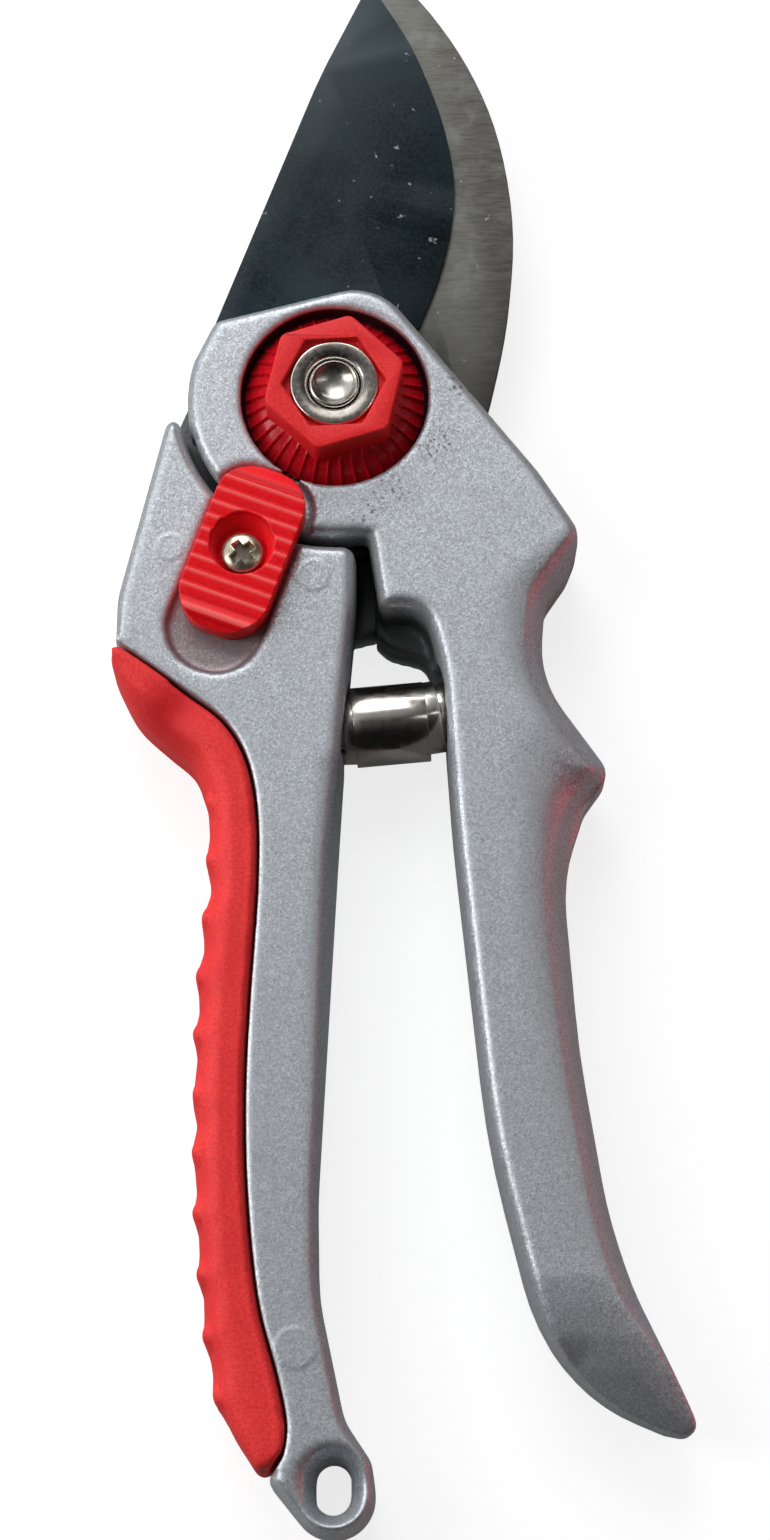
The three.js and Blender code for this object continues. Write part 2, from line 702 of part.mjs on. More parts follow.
function adjusterWheel() {
  const back = washerBack + restGap;
  const skirtTop = handleFront + skirtStandOut;
  const collarFlat = collarCorner * Math.cos(Math.PI / 6);
  const skirt = turned([
    [0, back], [skirtRadius, back], [skirtRadius, back + skirtRim], [collarFlat, skirtTop], [0, skirtTop],
  ], 72);
  const collar = plate(polygon(6, collarCorner, collarTurn), back, handleFront + collarStandOut, collarFlare);
  const teeth = Array.from({ length: skirtTeeth }, (_, i) => (
    skirtTooth(i * 360 / skirtTeeth, back, skirtTop, collarFlat)
  ));
  const nutSeat = plate(
    polygon(6, nutCorner + slideGap, collarTurn), nutBack - 1, nutBack + nutFlangeHeight + slideGap,
  );
  const nutBarrel = rod(nutRadius + slideGap, nutBack, handleFront + collarStandOut + 1);
  const washerRoom = rod(washerRadius + restGap, back - 1, nutBack + slideGap);
  return cut(join(skirt, collar), ...teeth, nutSeat, nutBarrel, washerRoom);
}

// One groove down the skirt, between two ribs
function skirtTooth(angle, back, skirtTop, collarFlat) {
  const run = skirtRadius - collarFlat;
  const rise = skirtTop - back - skirtRim;
  const length = Math.hypot(run, rise);
  const geometry = new THREE.BoxGeometry(length + 1.5, 0.9, 2 * skirtToothDepth);
  geometry.rotateX(Math.PI / 4);
  geometry.rotateY(Math.atan2(rise, run));
  geometry.translate((skirtRadius + collarFlat) / 2 + 0.2, 0, (back + skirtRim + skirtTop) / 2 + 0.15);
  geometry.rotateZ(angle * degrees);
  return solid(geometry);
}

// ---------------------------------------------------------------------------------------------
// Latch: slider, screw, tongue and detent

function latchSlider() {
  const under = handleFront + restGap;
  const top = handleFront + sliderStandOut;
  const cover = plate(
    latchOutline(sliderHalfWidth, sliderBottom, sliderTop, sliderCorner, sliderCorner),
    under, top, sliderEdge,
  );
  const pad = cut(
    plate(
      latchOutline(sliderHalfWidth - slideGap, sliderBottom, sliderTop / 2, sliderCorner, 0),
      handleFront - recessDepth + slideGap, top - sliderEdge,
    ),
    rod(headRadius + 2 * headGap, 0, handleFront + restGap),
  );
  const place = onLatch(0, 0);
  const cup = turned([
    [0, top - cupDepth], [cupFloorRadius, top - cupDepth], [cupRadius, top], [cupRadius, top + 1],
    [0, top + 1],
  ]).translate([place.x, place.y, 0]);
  const hole = rod(screwRadius + pinGap, 0, top, place.x, place.y);
  const grooves = Array.from({ length: 13 }, (_, i) => sliderGroove((i - 6) * sliderRibPitch, top));
  return cut(join(cover, pad), cup, hole, ...grooves);
}

// A groove across the slider's top face, between two ribs
function sliderGroove(along, top) {
  const half = sliderRibPitch * 0.28;
  const across = sliderHalfWidth + 1;
  const outline = latchOutline(across, along - half, along + half, 0, 0);
  return plate(outline, top - sliderRibDepth, top + 1);
}

function latchScrew() {
  const place = onLatch(0, 0);
  const seat = handleFront + sliderStandOut - cupDepth;
  const head = plate(circle(screwHeadRadius, place.x, place.y), seat, seat + screwHeadHeight, 0.5);
  const shank = rod(screwRadius, tongueBack + pinGap, seat + 0.5, place.x, place.y);
  const bladeHalf = crossWidth / 2;
  const reach = screwHeadRadius * 0.62;
  const headTop = seat + screwHeadHeight;
  const slots = [[reach, bladeHalf], [bladeHalf, reach]].map(([x, y]) => (
    box(place.x - x, place.y - y, headTop - crossDepth, place.x + x, place.y + y, headTop + 1)
  ));
  return cut(join(head, shank), ...slots);
}

function latchPlate() {
  const place = onLatch(0, 0);
  const body = plate(latchOutline(tongueHalfWidth, tongueBottom, tongueTop, 1, 1.5), tongueBack, tongueFront);
  return cut(body, rod(screwRadius + pinGap, 0, handleFront, place.x, place.y));
}

function detentBall() {
  const place = onLatch(0, detentPlace);
  const geometry = new THREE.SphereGeometry(detentBallRadius, 16, 12);
  geometry.rotateX(Math.PI / 2);
  geometry.translate(place.x, place.y, tongueBack - pinGap - detentBallRadius);
  return solid(geometry);
}

function detentSpring() {
  const place = onLatch(0, detentPlace);
  const top = tongueBack - pinGap - 2 * detentBallRadius - pinGap;
  const outer = detentBallRadius;
  const tube = ring(outer - detentSpringWire, outer, top - detentSpringHeight, top);
  return tube.translate([place.x, place.y, 0]);
}

// ---------------------------------------------------------------------------------------------
// Volute spring: one strip of steel whose turns sit inside each other, each turn a solid of its own

function springTurn({ radius, angle }) {
  const half = springStripWidth / 2;
  const outer = springRod(radius, -half, half, angle);
  return cut(outer, springRod(radius - springStripThickness, -half - 1, half + 1, angle));
}

// ---------------------------------------------------------------------------------------------
// The assembly

addPiece('left_handle', leftHandle(), finish(0xa6abb0, 0.42, 0.6));
addPiece('handle_grip', handleGrip(), finish(0xc8282c, 0.75, 0));
addPiece('hook_blade', hookBlade(), finish(0x6d6f6c, 0.45, 1));
hookRivets.forEach((place, i) => addPiece(`hook_rivet_${i + 1}`, hookRivet(place), steel()));
addPiece('right_handle', rightHandle(), finish(0xa6abb0, 0.42, 0.6));
addPiece('cutting_blade', cuttingBlade(), finish(0x1c242b, 0.35, 0.5));
bladePins.forEach((place, i) => addPiece(`blade_pin_${i + 1}`, bladePin(place), steel()));
addPiece('pivot_bolt', pivotBolt(), finish(0xb9b5ad, 0.2, 1));
addPiece('pivot_bush', pivotBush(), finish(0xa78a4e, 0.35, 1));
addPiece('pivot_washer', ring(boltRadius + pinGap, washerRadius, washerBack, nutBack), steel());
addPiece('pivot_nut', pivotNut(), finish(0x9b978f, 0.25, 1));
addPiece('adjuster_wheel', adjusterWheel(), finish(0xc21a1e, 0.4, 0));
addPiece('latch_slider', latchSlider(), finish(0xd0141a, 0.35, 0));
addPiece('latch_screw', latchScrew(), finish(0xa9a59c, 0.25, 1));
addPiece('latch_plate', latchPlate(), steel());
addPiece('latch_detent_ball', detentBall(), steel());
addPiece('latch_detent_spring', detentSpring(), steel());
springTurns.forEach((turn, i) => addPiece(`spring_turn_${i + 1}`, springTurn(turn), springSteel()));

export default group;
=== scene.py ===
import math
import bmesh
import bpy
from mathutils import Matrix, Vector, kdtree


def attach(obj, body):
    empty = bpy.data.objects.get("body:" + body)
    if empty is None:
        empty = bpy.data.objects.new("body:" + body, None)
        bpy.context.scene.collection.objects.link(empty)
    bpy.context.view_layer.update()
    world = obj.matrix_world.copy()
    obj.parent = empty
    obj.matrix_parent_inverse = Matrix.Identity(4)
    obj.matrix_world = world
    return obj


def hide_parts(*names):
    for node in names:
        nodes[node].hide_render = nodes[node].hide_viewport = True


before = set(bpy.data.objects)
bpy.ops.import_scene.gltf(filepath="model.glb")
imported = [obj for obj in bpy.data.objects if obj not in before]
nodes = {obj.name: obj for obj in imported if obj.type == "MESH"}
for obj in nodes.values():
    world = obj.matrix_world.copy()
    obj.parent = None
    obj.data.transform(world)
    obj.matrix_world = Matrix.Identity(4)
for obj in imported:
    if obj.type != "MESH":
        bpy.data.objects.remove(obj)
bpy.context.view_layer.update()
mm = 0.001  # lengths below are in millimetres, times this

# ---------------------------------------------------------------------------------------------
# Where the shears lie: flat on their back on a white table, looked down on from a little below
# the hanging eye, in the light of a big window beyond the blade and to its left.

camera = bpy.data.objects.new("camera", bpy.data.cameras.new("camera"))
camera.location = (6.59 * mm, -166.53 * mm, 461.75 * mm)
camera.rotation_euler = (math.radians(14.6), 0, 0)
camera.data.lens = 84.67
camera.data.sensor_width = 36
camera.data.clip_start = 0.01
bpy.context.scene.collection.objects.link(camera)
bpy.context.scene.camera = camera
bpy.context.scene.view_settings.view_transform = "Standard"


class Wiring:
    """Nodes of one tree, added in reading order and linked by socket."""

    def __init__(self, tree):
        self.tree = tree

    def add(self, kind, **settings):
        node = self.tree.nodes.new(kind)
        for name, value in settings.items():
            setattr(node, name, value)
        return node

    def link(self, source, target):
        self.tree.links.new(source, target)

    def math(self, operation, first, second=0.0, third=0.0):
        node = self.add("ShaderNodeMath", operation=operation)
        for socket, value in zip(node.inputs, (first, second, third)):
            self.put(value, socket)
        return node.outputs[0]

    def put(self, value, socket):
        if hasattr(value, "links"):
            self.link(value, socket)
        else:
            socket.default_value = value

    def spread(self, value, low, high, to_low=0.0, to_high=1.0):
        node = self.add("ShaderNodeMapRange", interpolation_type="SMOOTHSTEP")
        for name, number in zip(("Value", "From Min", "From Max", "To Min", "To Max"),
                                (value, low, high, to_low, to_high)):
            self.put(number, node.inputs[name])
        return node.outputs["Result"]

    def blend(self, share, first, second):
        node = self.add("ShaderNodeMix", data_type="RGBA")
        for socket, value in ((node.inputs["Factor"], share), (node.inputs[6], first),
                              (node.inputs[7], second)):
            self.put(value, socket)
        return node.outputs[2]


def fresh(owner):
    owner.use_nodes = True
    owner.node_tree.nodes.clear()
    return Wiring(owner.node_tree)


world = bpy.data.worlds.new("daylight")
bpy.context.scene.world = world
sky = fresh(world)
direction = sky.add("ShaderNodeTexCoord").outputs["Generated"]


def towards(x, y, z):
    """How nearly a direction points at the given one, from -1 to 1"""
    dot = sky.add("ShaderNodeVectorMath", operation="DOT_PRODUCT")
    sky.link(direction, dot.inputs[0])
    dot.inputs[1].default_value = Vector((x, y, z)).normalized()
    return dot.outputs["Value"]


room = (0.075, 0.075, 0.075, 1)
near_side = (0.012, 0.012, 0.012, 1)
window = (1.15, 1.20, 1.26, 1)
ceiling = (0.37, 0.375, 0.38, 1)
red_wall = (0.17, 0.045, 0.05, 1)
shaded = sky.blend(sky.spread(towards(0.1, -1, 0.42), 0.42, 0.84), room, near_side)
lit = sky.blend(sky.spread(towards(-0.58, 0.66, 0.46), 0.60, 0.97), shaded, window)
overhead = sky.blend(sky.spread(towards(-0.05, 0.56, 1), 0.87, 0.985), lit, ceiling)
walled = sky.blend(sky.spread(towards(1, -0.45, 0.12), 0.72, 0.95), overhead, red_wall)
background = sky.add("ShaderNodeBackground")
sky.link(walled, background.inputs["Color"])
white = sky.add("ShaderNodeBackground")
seen = sky.add("ShaderNodeLightPath").outputs["Is Camera Ray"]
either = sky.add("ShaderNodeMixShader")
sky.link(seen, either.inputs[0])
sky.link(background.outputs[0], either.inputs[1])
sky.link(white.outputs[0], either.inputs[2])
white.inputs["Color"].default_value = (1, 1, 1, 1)
sky.link(either.outputs[0], sky.add("ShaderNodeOutputWorld").inputs[0])


def panel(name, place, aim, width, height, watts, colour=(1, 1, 1)):
    """A lamp with an even face, turned towards a point"""
    lamp = bpy.data.objects.new(name, bpy.data.lights.new(name, "AREA"))
    lamp.data.shape = "RECTANGLE"
    lamp.data.size, lamp.data.size_y = width, height
    lamp.data.energy = watts
    lamp.data.color = colour
    lamp.visible_camera = False
    lamp.location = place
    lamp.rotation_euler = (Vector(aim) - Vector(place)).to_track_quat("-Z", "Y").to_euler()
    bpy.context.scene.collection.objects.link(lamp)


panel("window", (-0.08, 0.48, 0.52), (0, 0, 0), 0.40, 0.40, 2.0, (0.97, 0.99, 1.0))
panel("high_strip", (0.55, 0.05, 0.62), (0.02, -0.05, 0), 0.03, 0.7, 0.4)
panel("far_strip", (0.02, 0.56, 0.33), (0, -0.04, 0), 0.6, 0.07, 0.5)
panel("left_strip", (-0.45, -0.03, 0.20), (0, -0.06, 0), 0.18, 0.8, 1.9)
panel("red_glow", (0.45, -0.10, 0.022), (0.03, -0.08, 0.01), 0.3, 0.036, 0.16, (1, 0.02, 0.05))

table_gap = 0.3
table_mesh = bmesh.new()
bmesh.ops.create_grid(table_mesh, x_segments=1, y_segments=1, size=2.5)
bmesh.ops.translate(table_mesh, verts=table_mesh.verts, vec=(0, 0, -table_gap * mm))
table = bpy.data.objects.new("table", bpy.data.meshes.new("table"))
table_mesh.to_mesh(table.data)
table_mesh.free()
bpy.context.scene.collection.objects.link(table)
table_top = bpy.data.materials.new("table_top")
top = fresh(table_top)
paper = top.add("ShaderNodeBsdfDiffuse")
paper.inputs["Color"].default_value = (0.34, 0.34, 0.34, 1)
glow = top.add("ShaderNodeEmission")
ray = top.add("ShaderNodeLightPath")
glow_seen, glow_mirrored = 0.80, 0.06
mirrored = top.math("MAXIMUM", ray.outputs["Is Glossy Ray"], ray.outputs["Is Transmission Ray"])
shown = top.math("MULTIPLY_ADD", ray.outputs["Is Camera Ray"], glow_seen,
                 top.math("MULTIPLY", mirrored, glow_mirrored))
top.link(shown, glow.inputs["Strength"])
both = top.add("ShaderNodeAddShader")
top.link(paper.outputs[0], both.inputs[0])
top.link(glow.outputs[0], both.inputs[1])
top.link(both.outputs[0], top.add("ShaderNodeOutputMaterial").inputs[0])
table.data.materials.append(table_top)

# ---------------------------------------------------------------------------------------------
# Right handle: die-cast aluminium with the front half of the head, sprayed with grainy silver
# paint. Its outer side is rounded over for the fingers, and it thins out towards the tip.


def merged(node):
    """A copy of a CAD solid with its loose triangles joined into one skin"""
    shape = bmesh.new()
    shape.from_mesh(nodes[node].data)
    bmesh.ops.remove_doubles(shape, verts=shape.verts, dist=0.001 * mm)
    return shape


def made(name, shape, smooth_angle=math.pi):
    """A piece from a shape, smooth where its faces meet at less than the angle"""
    mesh = bpy.data.meshes.new(name)
    shape.to_mesh(mesh)
    shape.free()
    piece = bpy.data.objects.new(name, mesh)
    bpy.context.scene.collection.objects.link(piece)
    shade(piece, smooth_angle)
    return piece


def shade(piece, smooth_angle):
    piece.data.polygons.foreach_set("use_smooth", [True] * len(piece.data.polygons))
    if smooth_angle < math.pi:
        piece.data.set_sharp_from_angle(angle=smooth_angle)


def settle(piece):
    """Makes what the piece's modifiers show its own mesh"""
    bpy.context.view_layer.update()
    shown_piece = piece.evaluated_get(bpy.context.evaluated_depsgraph_get())
    result = bpy.data.meshes.new_from_object(shown_piece)
    piece.modifiers.clear()
    piece.data = result


def moulded(name, shape, grain, rounds, seam_rounds=0, at_seam=None):
    """One even skin over a shape, with its corners eased, but less where it meets another piece"""
    piece = made(name, shape)
    skin = piece.modifiers.new("skin", "REMESH")
    skin.mode = "VOXEL"
    skin.voxel_size = grain
    settle(piece)
    eased = bmesh.new()
    eased.from_mesh(piece.data)
    if at_seam:
        ease(eased, eased.verts, seam_rounds)
        rest = [v for v in eased.verts if not at_seam(v.co.x / mm, v.co.y / mm)]
        ease(eased, rest, rounds - seam_rounds)
    else:
        ease(eased, eased.verts, rounds)
    eased.to_mesh(piece.data)
    eased.free()
    shade(piece, math.pi)
    return piece


def ease(shape, verts, rounds):
    """Draws each point towards the middle of its neighbours, a few times over"""
    for _ in range(rounds):
        bmesh.ops.smooth_vert(shape, verts=verts, factor=0.5, use_axis_x=True, use_axis_y=True,
                              use_axis_z=True)


def finished(piece, body, slot, material, *replaced):
    """Gives a piece its material and the body it rides on, and hides the solids it stands for"""
    piece.data.materials.clear()
    piece.data.materials.append(material)
    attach(piece, body)
    if replaced:
        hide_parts(*replaced)


def smoothstep(value, low, high):
    share = min(max((value - low) / (high - low), 0), 1)
    return share * share * (3 - 2 * share)


class Finish(Wiring):
    """The nodes of one material, whose patterns read their place on the piece"""

    def __init__(self, name):
        self.material = bpy.data.materials.new(name)
        super().__init__(fresh(self.material).tree)
        self.place = self.add("ShaderNodeTexCoord").outputs["Object"]

    def noise(self, scale, detail=2.0, roughness=0.5, place=None):
        node = self.add("ShaderNodeTexNoise")
        self.link(place or self.place, node.inputs["Vector"])
        node.inputs["Scale"].default_value = scale
        node.inputs["Detail"].default_value = detail
        node.inputs["Roughness"].default_value = roughness
        return node.outputs["Fac"]

    def coordinate(self, axis):
        node = self.add("ShaderNodeSeparateXYZ")
        self.link(self.place, node.inputs[0])
        return node.outputs[axis]

    def away_from(self, x, y, z):
        """How far the place is from a point that is given in millimetres"""
        node = self.add("ShaderNodeVectorMath", operation="DISTANCE")
        self.link(self.place, node.inputs[0])
        node.inputs[1].default_value = (x * mm, y * mm, z * mm)
        return node.outputs["Value"]

    def away_from_axis(self):
        """How far the place is from the pivot's axis"""
        flat = self.add("ShaderNodeVectorMath", operation="MULTIPLY")
        self.link(self.place, flat.inputs[0])
        flat.inputs[1].default_value = (1, 1, 0)
        node = self.add("ShaderNodeVectorMath", operation="LENGTH")
        self.link(flat.outputs[0], node.inputs[0])
        return node.outputs["Value"]

    def bump(self, height, strength, distance, under=None):
        """Fine relief, its depth in millimetres, over the relief that lies under it"""
        node = self.add("ShaderNodeBump")
        node.inputs["Strength"].default_value = strength
        node.inputs["Distance"].default_value = distance * mm
        self.link(height, node.inputs["Height"])
        if under:
            self.link(under, node.inputs["Normal"])
        return node.outputs[0]

    def shade(self, colour, roughness, normal=None, metallic=0.0, specular=0.5):
        """The shader itself, joined to the material's output"""
        shader = self.add("ShaderNodeBsdfPrincipled")
        for name, value in (("Base Color", colour), ("Roughness", roughness),
                            ("Metallic", metallic), ("Specular IOR Level", specular)):
            self.put(value, shader.inputs[name])
        if normal:
            self.link(normal, shader.inputs["Normal"])
        self.link(shader.outputs[0], self.add("ShaderNodeOutputMaterial").inputs[0])
        return self.material


# Paint with metal flakes: the flakes tilt the surface a little, each its own way
flakes = bpy.data.node_groups.new("flakes", "ShaderNodeTree")
for name, kind, way in (("Vector", "Vector", "INPUT"), ("Size", "Float", "INPUT"),
                        ("Tilt", "Float", "INPUT"), ("Normal", "Vector", "OUTPUT"),
                        ("Shade", "Float", "OUTPUT")):
    flakes.interface.new_socket(name, in_out=way, socket_type="NodeSocket" + kind)
inside = Wiring(flakes)
given = inside.add("NodeGroupInput")
given_out = inside.add("NodeGroupOutput")
cells = inside.add("ShaderNodeTexVoronoi")
inside.link(given.outputs["Vector"], cells.inputs["Vector"])
inside.link(inside.math("DIVIDE", 1.0, given.outputs["Size"]), cells.inputs["Scale"])
tilted = inside.add("ShaderNodeVectorMath", operation="SUBTRACT")
inside.link(cells.outputs["Color"], tilted.inputs[0])
tilted.inputs[1].default_value = (0.5, 0.5, 0.5)
scaled = inside.add("ShaderNodeVectorMath", operation="SCALE")
inside.link(tilted.outputs[0], scaled.inputs[0])
inside.link(given.outputs["Tilt"], scaled.inputs["Scale"])
summed = inside.add("ShaderNodeVectorMath", operation="ADD")
inside.link(inside.add("ShaderNodeNewGeometry").outputs["Normal"], summed.inputs[0])
inside.link(scaled.outputs[0], summed.inputs[1])
unit = inside.add("ShaderNodeVectorMath", operation="NORMALIZE")
inside.link(summed.outputs[0], unit.inputs[0])
inside.link(unit.outputs[0], given_out.inputs["Normal"])
split = inside.add("ShaderNodeSeparateColor")
inside.link(cells.outputs["Color"], split.inputs[0])
inside.link(split.outputs[0], given_out.inputs["Shade"])

front_face = 16.6
flake_size = 0.19
flake_tilt = 0.15
well_radius = 12.6
# how far from the pivot the painted shade on the low walls reaches
shade_reach = 41


def silver_paint(name, dirt_spots, pin_marks=(), painted_light=()):
    """Silver paint with flakes, a faint orange peel, dirt, pin marks, painted shade and a painted
    reflection
    """
    wires = Finish(name)
    level = wires.coordinate("Z")
    flake = wires.add("ShaderNodeGroup")
    flake.node_tree = flakes
    wires.link(wires.place, flake.inputs["Vector"])
    flake.inputs["Size"].default_value = flake_size * mm
    flake.inputs["Tilt"].default_value = flake_tilt
    cloud = wires.noise(180, 3)
    speck = wires.noise(3600, 2)
    base = wires.blend(flake.outputs["Shade"], (0.36, 0.38, 0.405, 1), (0.61, 0.64, 0.67, 1))
    base = wires.blend(wires.spread(cloud, 0.35, 0.75, 0, 0.30), base, (0.43, 0.45, 0.475, 1))

    dirt = 0.0
    for x, y, reach in dirt_spots:
        away = wires.away_from(x, y, front_face)
        dirt = wires.math("MAXIMUM", wires.spread(away, 0.2 * reach * mm, reach * mm, 1, 0), dirt)
    rings = 0.0
    for x, y, radius in pin_marks:
        away = wires.away_from(x, y, front_face)
        off_rim = wires.math("ABSOLUTE", wires.math("SUBTRACT", away, radius * mm))
        ring = wires.spread(off_rim, 0, 0.55 * mm, 0.45, 0)
        disc = wires.spread(away, (radius - 0.5) * mm, (radius + 0.2) * mm, 0.7, 0)
        rings = wires.math("ADD", rings, wires.math("ADD", ring, disc))
    # painted shade: the floor of the hollow under the latch is made a darker brownish grey
    for x, y, reach in painted_light:
        away = wires.away_from(x, y, front_face)
        near = wires.spread(away, 0.8 * reach * mm, reach * mm, 1, 0)
        low = wires.spread(level, 15.7 * mm, 16.25 * mm, 1, 0)
        base = wires.blend(wires.math("MULTIPLY", near, low), base, (0.30, 0.25, 0.258, 1))
    smudge = wires.noise(1500, 3, 0.7)
    mark = wires.math("MULTIPLY", wires.spread(smudge, 0.55, 0.63), dirt)
    base = wires.blend(wires.math("MULTIPLY", mark, 0.8), base, (0.07, 0.07, 0.065, 1))

    # painted shade: the walls low down near the pivot, under the head and between the handles, are
    # darkened nearly to black
    deep = wires.math("MULTIPLY", wires.spread(level, 10 * mm, 15 * mm, 1, 0),
                      wires.spread(level, 1 * mm, 4 * mm))
    by_pivot = wires.spread(wires.away_from(0, 0, 0), (shade_reach - 5) * mm,
                            shade_reach * mm, 1, 0)
    deep_shade = wires.math("MULTIPLY", deep, by_pivot)
    base = wires.blend(wires.math("MULTIPLY", deep_shade, 0.9), base, (0.02, 0.021, 0.02, 1))
    # painted reflection: the wall of the well round the wheel is tinted dark red, as the red wheel
    # shows in it
    in_ring = wires.spread(wires.away_from_axis(), (well_radius - 0.3) * mm,
                           (well_radius + 0.3) * mm, 1, 0)
    well_reflection = wires.math("MULTIPLY", in_ring, wires.spread(level, 15.6 * mm, 16.3 * mm, 1, 0))
    base = wires.blend(well_reflection, base, (0.035, 0.006, 0.010, 1))

    # where shade and the well's reflection are painted, the paint is made less metallic
    painted_dark = wires.math("MAXIMUM", deep_shade, well_reflection)
    relief = wires.bump(speck, 0.25, 0.02, flake.outputs["Normal"])
    if pin_marks:
        relief = wires.bump(rings, 0.7, 0.12, relief)
    return wires.shade(base, wires.spread(speck, 0.3, 0.7, 0.38, 0.50), relief,
                       metallic=wires.math("MULTIPLY_ADD", painted_dark, -0.6, 0.65))


cast_grain = 0.40 * mm
cast_rounds = 3
half_depth = 8.3 * mm


def side_finder(piece, wanted):
    """The points along one side of a piece, seen from above, to find the nearest of them"""
    rim = [v.co.to_2d().to_3d() for v in piece.data.vertices
           if abs(v.co.z - half_depth) < 0.8 * mm and wanted(v.co.x / mm, v.co.y / mm)]
    tree = kdtree.KDTree(len(rim))
    for i, point in enumerate(rim):
        tree.insert(point, i)
    tree.balance()
    return tree


def rounded_over(piece, tree, reach, drop, fade):
    """Lowers both faces towards a side, more and more the nearer they come to it"""
    for vertex in piece.data.vertices:
        share = fade(vertex.co.y / mm)
        if share <= 0:
            continue
        near = 1 - tree.find(vertex.co.to_2d().to_3d())[2] / reach
        if near > 0:
            vertex.co.z = half_depth + (vertex.co.z - half_depth) * (1 - drop * share * near ** 2)


def hollowed(piece, x, y, reach_x, reach_y, depth):
    """Presses a soft hollow into the front of a piece"""
    for vertex in piece.data.vertices:
        if vertex.co.z > 9 * mm:
            away = math.hypot((vertex.co.x / mm - x) / reach_x, (vertex.co.y / mm - y) / reach_y)
            vertex.co.z -= depth * mm * math.exp(-away ** 2) * smoothstep(vertex.co.z / mm, 9, 14)


right_handle = moulded("right_handle_cast", merged("right_handle"), cast_grain, cast_rounds)
outer_side = side_finder(
    right_handle, lambda x, y: -134 < y < -17.5 and x > 22 + max(0, -y - 60) * 0.12)
rounded_over(right_handle, outer_side, 5.4 * mm, 0.15,
             lambda y: smoothstep(-y, 19, 25))
rounded_over(right_handle, outer_side, 8.0 * mm, 0.10,
             lambda y: smoothstep(-y, 21, 30) * (1 - smoothstep(-y, 43, 50)))
rounded_over(right_handle, outer_side, 7.4 * mm, 0.24,
             lambda y: smoothstep(-y, 49, 58) * (1 - 0.75 * smoothstep(-y, 66, 104)))
hollowed(right_handle, 32.6, -53.4, 5.2, 7.4, 3.0)
hollowed(right_handle, 31.0, -66.0, 3.2, 10.0, 0.9)
right_paint = silver_paint("silver_paint_right", [
    (13.2, -6.4, 4.5), (7.5, -13.5, 4.5), (10.0, -3.0, 3.0), (16.5, 1.0, 3.5), (4.0, -16.2, 3.0),
    (-1.0, 14.6, 1.5),
])
finished(right_handle, "right_handle", "silver_paint", right_paint, "right_handle")

# ---------------------------------------------------------------------------------------------
# Left handle: die-cast like the right one, with the rear half of the head, the seat of the
# thumb latch and the hanging eye. Round marks are left where pins pushed it out of the die.

grip_seam = [
    (-28.6, -33.6), (-18.5, -40.2), (-14.0, -43.8), (-11.0, -48.8), (-9.6, -56.0), (-9.5, -66.0),
    (-10.8, -93.0), (-10.4, -105.0), (-9.0, -117.5), (-6.6, -126.5), (-5.4, -132.5), (-5.8, -137.0),
]
seam_reach = 1.3


def at_grip_seam(x, y):
    """Whether a place is close to the line where grip and casting meet"""
    for (x0, y0), (x1, y1) in zip(grip_seam, grip_seam[1:]):
        share = ((x - x0) * (x1 - x0) + (y - y0) * (y1 - y0)) / ((x1 - x0) ** 2 + (y1 - y0) ** 2)
        share = min(max(share, 0), 1)
        if math.hypot(x - x0 - share * (x1 - x0), y - y0 - share * (y1 - y0)) < seam_reach:
            return True
    return False


def filled_out(piece, reach, share):
    """Draws eased edges back out along the seam, so that the two pieces meet nearly flush"""
    for vertex in piece.data.vertices:
        valley_shade = half_depth - abs(vertex.co.z - half_depth)
        if valley_shade < reach and at_grip_seam(vertex.co.x / mm, vertex.co.y / mm):
            vertex.co.z += math.copysign(share * valley_shade, vertex.co.z - half_depth)


left_handle = moulded("left_handle_cast", merged("left_handle"), cast_grain, cast_rounds, 1,
                      at_grip_seam)
filled_out(left_handle, 1.3 * mm, 0.8)
inner_side = side_finder(left_handle, lambda x, y: -133 < y < -30 and x > -5
                         and not (-50.5 < y < -35 and x < 4.2))
rounded_over(left_handle, inner_side, 3.6 * mm, 0.12,
             lambda y: smoothstep(-y, 32, 54) * (1 - smoothstep(-y, 60, 100)))
eye = Vector((0.3, -140.0)) * mm
eye_radius, eye_lip, eye_drop = 2.2, 3.6, 0.34
for vertex in left_handle.data.vertices:
    near = 1 - ((vertex.co.to_2d() - eye).length / mm - eye_radius) / eye_lip
    if near > 0:
        drop = eye_drop * min(near, 1) ** 2
        vertex.co.z = half_depth + (vertex.co.z - half_depth) * (1 - drop)
left_paint = silver_paint(
    "silver_paint_left", [(-6.0, -45.0, 0.6)],
    pin_marks=[(-21.2, -20.8, 1.7), (-2.7, -24.6, 2.0), (-4.4, -123.4, 2.45)],
    painted_light=[(-15.6, -31.0, 10.0)])
finished(left_handle, "left_handle", "silver_paint", left_paint, "left_handle")

# ---------------------------------------------------------------------------------------------
# Grip: soft red rubber moulded over the rib of the left handle, with a row of round nubs down
# its outer side.

grip_grain = 0.36
grip_skin = moulded("grip_moulding", merged("handle_grip"), grip_grain * mm, 3, 1, at_grip_seam)
seam_side = side_finder(
    left_handle, lambda x, y: -137 < y < -33 and x < -4 and x < -9 + max(0, -y - 112) * 0.2
    or y > -46 and x < -11 and y < -34)
seam = [seam_side.find(v.co.to_2d().to_3d())[2] for v in grip_skin.data.vertices]
filled_out(grip_skin, 1.6 * mm, 0.6)
crowned = bmesh.new()
crowned.from_mesh(grip_skin.data)
crowned.verts.ensure_lookup_table()
crown = [v for v in crowned.verts
         if abs(v.co.z - half_depth) > 5.2 * mm and seam[v.index] > 1.4 * mm]
ease(crowned, crown, 24)
crowned.to_mesh(grip_skin.data)
crowned.free()

